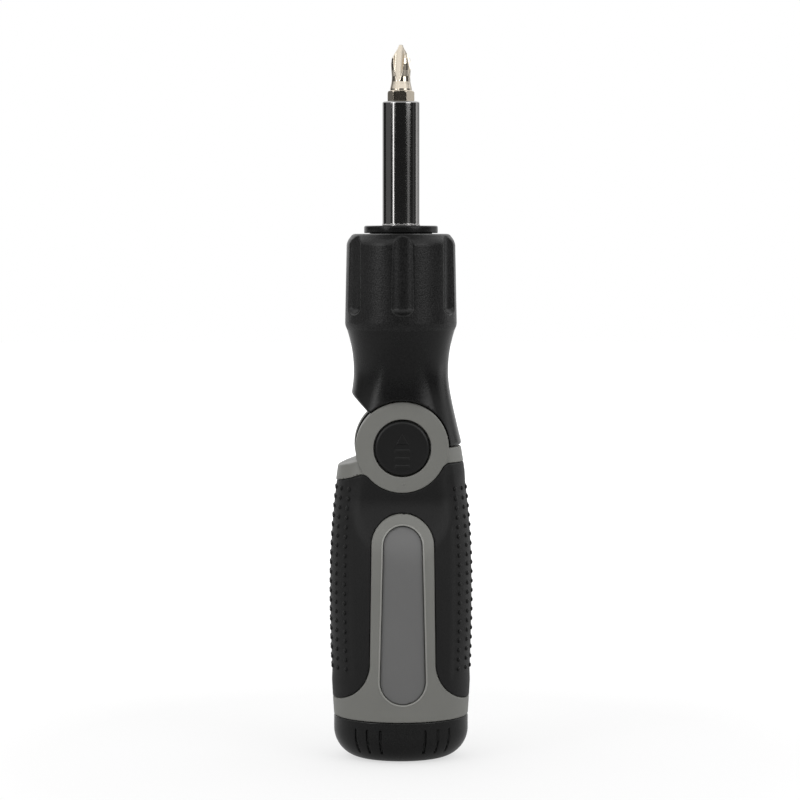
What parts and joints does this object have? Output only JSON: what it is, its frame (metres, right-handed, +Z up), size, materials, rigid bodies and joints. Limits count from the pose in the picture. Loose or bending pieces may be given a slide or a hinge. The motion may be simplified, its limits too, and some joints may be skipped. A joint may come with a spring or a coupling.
{
  "type": "ratcheting screwdriver",
  "caption": "Ratcheting screwdriver with a swinging lockable head, a fluted selector collar, a soft oval grip and spare bits under a pull-off end cap.",
  "frame": {"origin": "middle of the end cap's flat base", "axes": "+Z up the handle to the bit, -Y out of the button and the label, the head swings towards -X"},
  "size_m": [0.039, 0.0347, 0.1932],
  "materials": {
    "nickel": "bright nickel plate",
    "chrome": "polished black-toned chrome",
    "magnet": "plated",
    "steel": "ground",
    "spring_steel": "bright",
    "bronze": "sintered",
    "black_plastic": "satin moulded",
    "button_black": "fine matt",
    "grey_plastic": "satin moulded",
    "label_grey": "smooth satin",
    "soft_grip": "matt soft rubber",
    "rack_plastic": "moulded"
  },
  "bodies": {
    "handle": {"handle_front": "grey_plastic", "handle_back": "grey_plastic", "grip_front": "soft_grip", "grip_back": "soft_grip", "label_plate": "label_grey", "handle_screws": "steel"},
    "neck": {"neck_housing": "black_plastic", "collar_retainer": "black_plastic", "shaft_bush": "bronze", "thrust_washer": "steel", "pawl_pin": "steel", "detent_spring": "spring_steel", "button_spring": "spring_steel"},
    "selector": {"selector_collar": "black_plastic", "pawl_plunger": "steel", "plunger_spring": "spring_steel"},
    "pawl": {"pawl": "steel"},
    "shaft": {"bit_holder": "chrome", "ratchet_gear": "steel", "bit_magnet": "magnet"},
    "bit": {"bit": "nickel"},
    "button": {"lock_button": "button_black", "lock_gear": "steel"},
    "cap": {"end_cap": "black_plastic", "bit_rack": "rack_plastic"},
    "spare_cross_small": {"spare_cross_small": "nickel"},
    "spare_cross_large": {"spare_cross_large": "nickel"},
    "spare_slot_small": {"spare_slot_small": "nickel"},
    "spare_slot_large": {"spare_slot_large": "nickel"},
    "spare_hex": {"spare_hex": "nickel"},
    "spare_star": {"spare_star": "nickel"}
  },
  "joints": [
    {"name": "head_swing", "type": "hinge", "parent": "handle", "child": "neck", "pos_m": [0, 0, 0.0848], "axis": [0, -1, 0], "range_deg": [0, 60]},
    {"name": "lock_button_press", "type": "slide", "parent": "handle", "child": "button", "axis": [0, 1, 0], "range_m": [0, 0.0018], "stiffness_N_per_m": 600, "springref_m": -0.004, "deforming": ["button_spring"]},
    {"name": "selector_turn", "type": "hinge", "parent": "neck", "child": "selector", "pos_m": [0, 0, 0.1168], "axis": [0, 0, 1], "range_deg": [-15, 15], "deforming": ["detent_spring"]},
    {"name": "pawl_rock", "type": "hinge", "parent": "neck", "child": "pawl", "pos_m": [0.009, 0, 0.124], "axis": [0, 0, 1], "range_deg": [-6, 6]},
    {"name": "shaft_spin", "type": "hinge", "parent": "neck", "child": "shaft", "pos_m": [0, 0, 0.15], "axis": [0, 0, 1], "continuous": true},
    {"name": "bit_pull", "type": "slide", "parent": "shaft", "child": "bit", "axis": [0, 0, 1], "range_m": [0, 0.02]},
    {"name": "cap_pull", "type": "slide", "parent": "handle", "child": "cap", "axis": [0, 0, -1], "range_m": [0, 0.03]},
    {"name": "spare_cross_small_pull", "type": "slide", "parent": "cap", "child": "spare_cross_small", "axis": [0, 0, 1], "range_m": [0, 0.012]},
    {"name": "spare_cross_large_pull", "type": "slide", "parent": "cap", "child": "spare_cross_large", "axis": [0, 0, 1], "range_m": [0, 0.012]},
    {"name": "spare_slot_small_pull", "type": "slide", "parent": "cap", "child": "spare_slot_small", "axis": [0, 0, 1], "range_m": [0, 0.012]},
    {"name": "spare_slot_large_pull", "type": "slide", "parent": "cap", "child": "spare_slot_large", "axis": [0, 0, 1], "range_m": [0, 0.012]},
    {"name": "spare_hex_pull", "type": "slide", "parent": "cap", "child": "spare_hex", "axis": [0, 0, 1], "range_m": [0, 0.012]},
    {"name": "spare_star_pull", "type": "slide", "parent": "cap", "child": "spare_star", "axis": [0, 0, 1], "range_m": [0, 0.012]}
  ],
  "couplings": [
    {"joint": "pawl_rock", "follows": "selector_turn", "ratio": 0.4}
  ]
}
